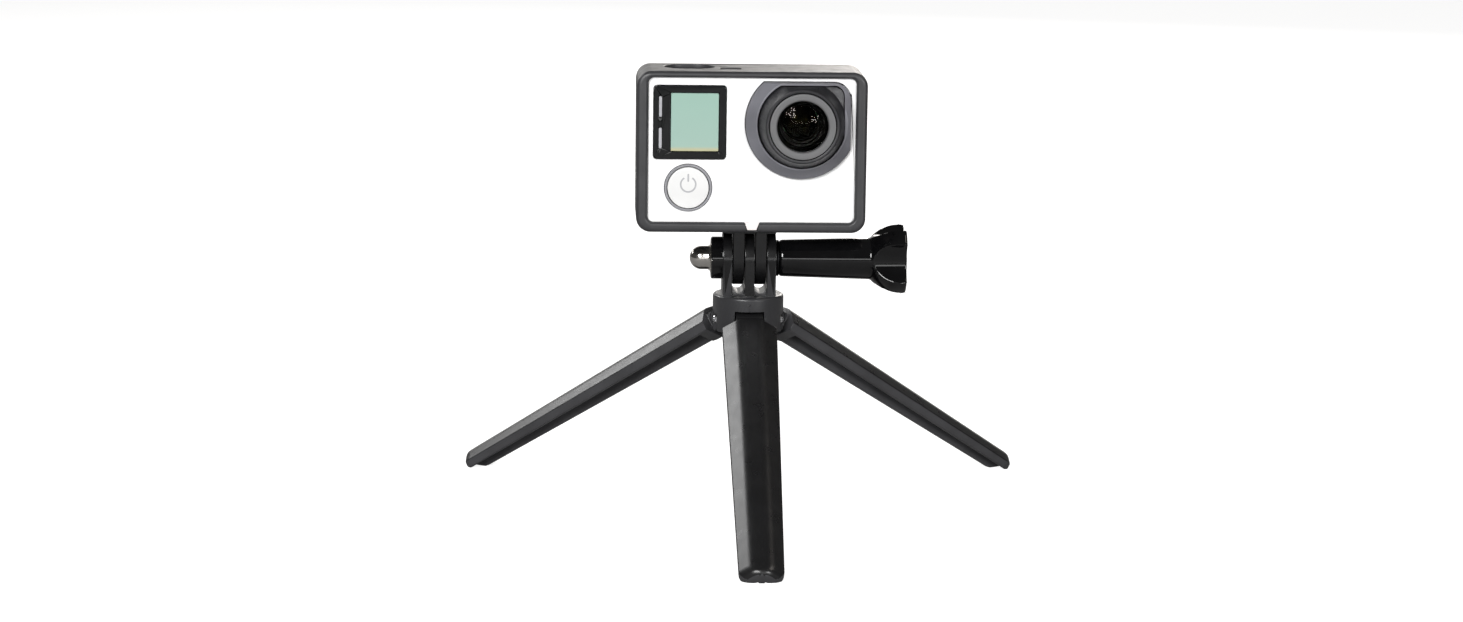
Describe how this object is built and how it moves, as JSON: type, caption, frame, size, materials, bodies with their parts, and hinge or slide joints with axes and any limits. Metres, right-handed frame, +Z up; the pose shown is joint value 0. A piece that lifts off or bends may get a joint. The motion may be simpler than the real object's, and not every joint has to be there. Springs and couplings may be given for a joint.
{
  "type": "action camera on folding stand",
  "caption": "Small action camera held in a clip-on frame, clamped by a thumb screw to a folding stand with splayed channel-shaped legs.",
  "frame": {"origin": "on the floor, under the middle of the bounding box of the standing object", "axes": "+Z up, the lens looks along -Y, the thumb knob is on the +X side"},
  "size_m": [0.1632, 0.1418, 0.1227],
  "materials": {
    "face_white": "satin silvery white",
    "case_grey": "matte dark grey",
    "panel_glass": "gloss near-black",
    "steel": "bright",
    "bezel_grey": "satin mid grey",
    "shroud_grey": "satin dark grey",
    "ring_grey": "satin",
    "lens_glass": "coated",
    "matte_black": "satin",
    "board_green": "satin",
    "lcd_green": "satin grey-green",
    "light_pipe": "translucent light grey",
    "battery_grey": "satin",
    "gloss_black": "high gloss",
    "chrome": "mirror bright",
    "stand_grey": "satin dark grey"
  },
  "bodies": {
    "stand": {"tripod_head": "stand_grey", "cap_nut": "chrome", "leg_pin_front": "steel", "leg_pin_right": "steel", "leg_pin_left": "steel"},
    "leg_front": {"leg_front": "stand_grey"},
    "leg_right": {"leg_right": "stand_grey"},
    "leg_left": {"leg_left": "stand_grey"},
    "frame": {"mount_frame": "matte_black", "lever_pin": "steel"},
    "lever": {"frame_lever": "gloss_black"},
    "washer": {"clamp_washer": "steel"},
    "thumb_screw": {"thumb_knob": "gloss_black", "clamp_screw": "steel"},
    "camera": {"front_cover": "face_white", "rear_case": "case_grey", "rear_screen": "panel_glass", "battery_door": "case_grey", "case_screw_1": "steel", "case_screw_2": "steel", "case_screw_3": "steel", "case_screw_4": "steel", "lens_bezel": "bezel_grey", "lens_shroud": "shroud_grey", "lens_ring": "ring_grey", "front_lens": "lens_glass", "lens_barrel": "matte_black", "rear_lens": "lens_glass", "image_sensor": "board_green", "display_window": "panel_glass", "status_display": "lcd_green", "upper_light": "light_pipe", "lower_light": "light_pipe", "mode_button_ring": "ring_grey", "mode_switch": "steel", "shutter_switch": "steel", "settings_switch": "steel", "main_board": "board_green", "battery": "battery_grey", "memory_card": "panel_glass", "speaker": "matte_black"},
    "mode_button": {"mode_button": "face_white"},
    "shutter_button": {"shutter_button": "case_grey"},
    "settings_button": {"settings_button": "bezel_grey"},
    "port_door": {"port_door": "case_grey"}
  },
  "joints": [
    {"name": "leg_front_fold", "type": "hinge", "parent": "stand", "child": "leg_front", "pos_m": [0, 0.0137, 0.0525], "axis": [1, 0, 0], "range_deg": [0, 59]},
    {"name": "leg_right_fold", "type": "hinge", "parent": "stand", "child": "leg_right", "pos_m": [0.00606, 0.0242, 0.0525], "axis": [-0.5, 0.866, 0], "range_deg": [0, 59]},
    {"name": "leg_left_fold", "type": "hinge", "parent": "stand", "child": "leg_left", "pos_m": [-0.00606, 0.0242, 0.0525], "axis": [-0.5, -0.866, 0], "range_deg": [0, 59]},
    {"name": "frame_tilt", "type": "hinge", "parent": "stand", "child": "frame", "pos_m": [0, 0.0207, 0.0696], "axis": [1, 0, 0], "range_deg": [-70, 70]},
    {"name": "washer_shift", "type": "slide", "parent": "stand", "child": "washer", "axis": [1, 0, 0], "range_m": [0, 0.006]},
    {"name": "screw_turn", "type": "hinge", "parent": "washer", "child": "thumb_screw", "pos_m": [0, 0.0207, 0.0696], "axis": [1, 0, 0], "range_deg": [0, 2700]},
    {"name": "camera_slide", "type": "slide", "parent": "frame", "child": "camera", "axis": [0, 1, 0], "range_m": [0, 0.03]},
    {"name": "lever_swing", "type": "hinge", "parent": "frame", "child": "lever", "pos_m": [0.03075, 0.0207, 0.0952], "axis": [0, 1, 0], "range_deg": [0, 95]},
    {"name": "mode_press", "type": "slide", "parent": "camera", "child": "mode_button", "axis": [0, 1, 0], "range_m": [0, 0.0004], "stiffness_N_per_m": 1500},
    {"name": "shutter_press", "type": "slide", "parent": "camera", "child": "shutter_button", "axis": [0, 0, -1], "range_m": [0, 0.0005], "stiffness_N_per_m": 1500},
    {"name": "settings_press", "type": "slide", "parent": "camera", "child": "settings_button", "axis": [-1, 0, 0], "range_m": [0, 0.0003], "stiffness_N_per_m": 1500},
    {"name": "port_door_pull", "type": "slide", "parent": "camera", "child": "port_door", "axis": [-1, 0, 0], "range_m": [0, 0.012]}
  ],
  "couplings": [
    {"joint": "screw_turn", "follows": "washer_shift", "rad_per_m": 7854}
  ]
}
